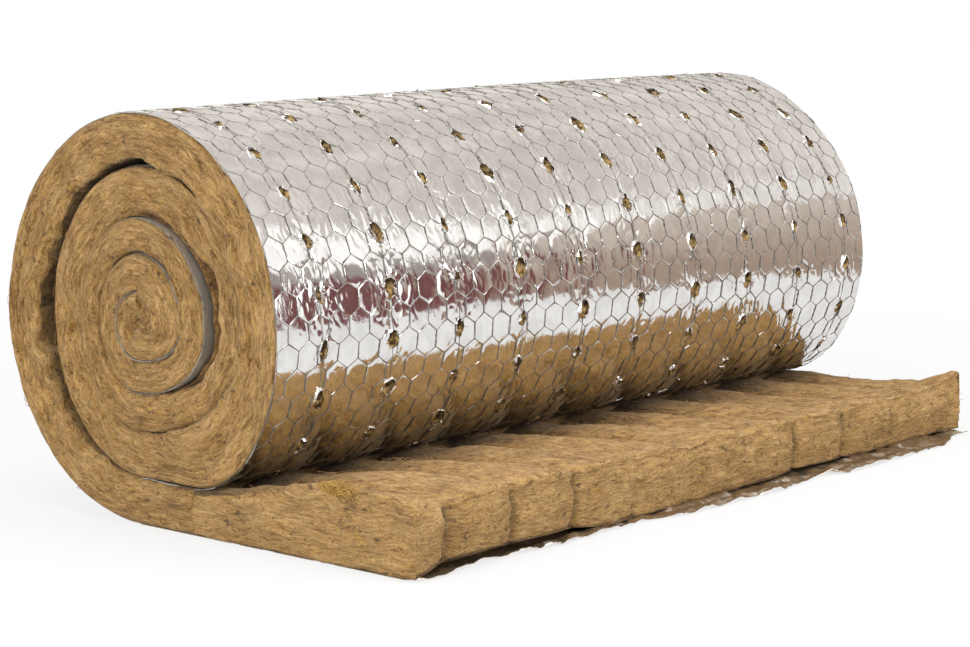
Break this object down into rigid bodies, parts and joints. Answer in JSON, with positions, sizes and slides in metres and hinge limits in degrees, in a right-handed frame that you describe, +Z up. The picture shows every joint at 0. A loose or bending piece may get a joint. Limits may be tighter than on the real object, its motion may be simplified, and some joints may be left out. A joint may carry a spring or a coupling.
{
  "type": "insulation roll",
  "caption": "Rolled mineral wool mat with a quilted, foil and wire netting faced side turned outwards, and one end left unrolled flat on the floor.",
  "frame": {"origin": "middle of the part's footprint, on the floor it lies on", "axes": "+Z up, +Y along the roll from the near end to the far end, +X towards the unrolled end"},
  "size_m": [0.562, 1, 0.4065],
  "materials": {
    "mineral_wool": "matt golden brown fibres, loose and layered",
    "foil": "bright crinkled aluminium foil under galvanised wire netting"
  },
  "bodies": {
    "root": {"wool_mat": "mineral_wool", "foil_facing": "foil"}
  },
  "joints": []
}
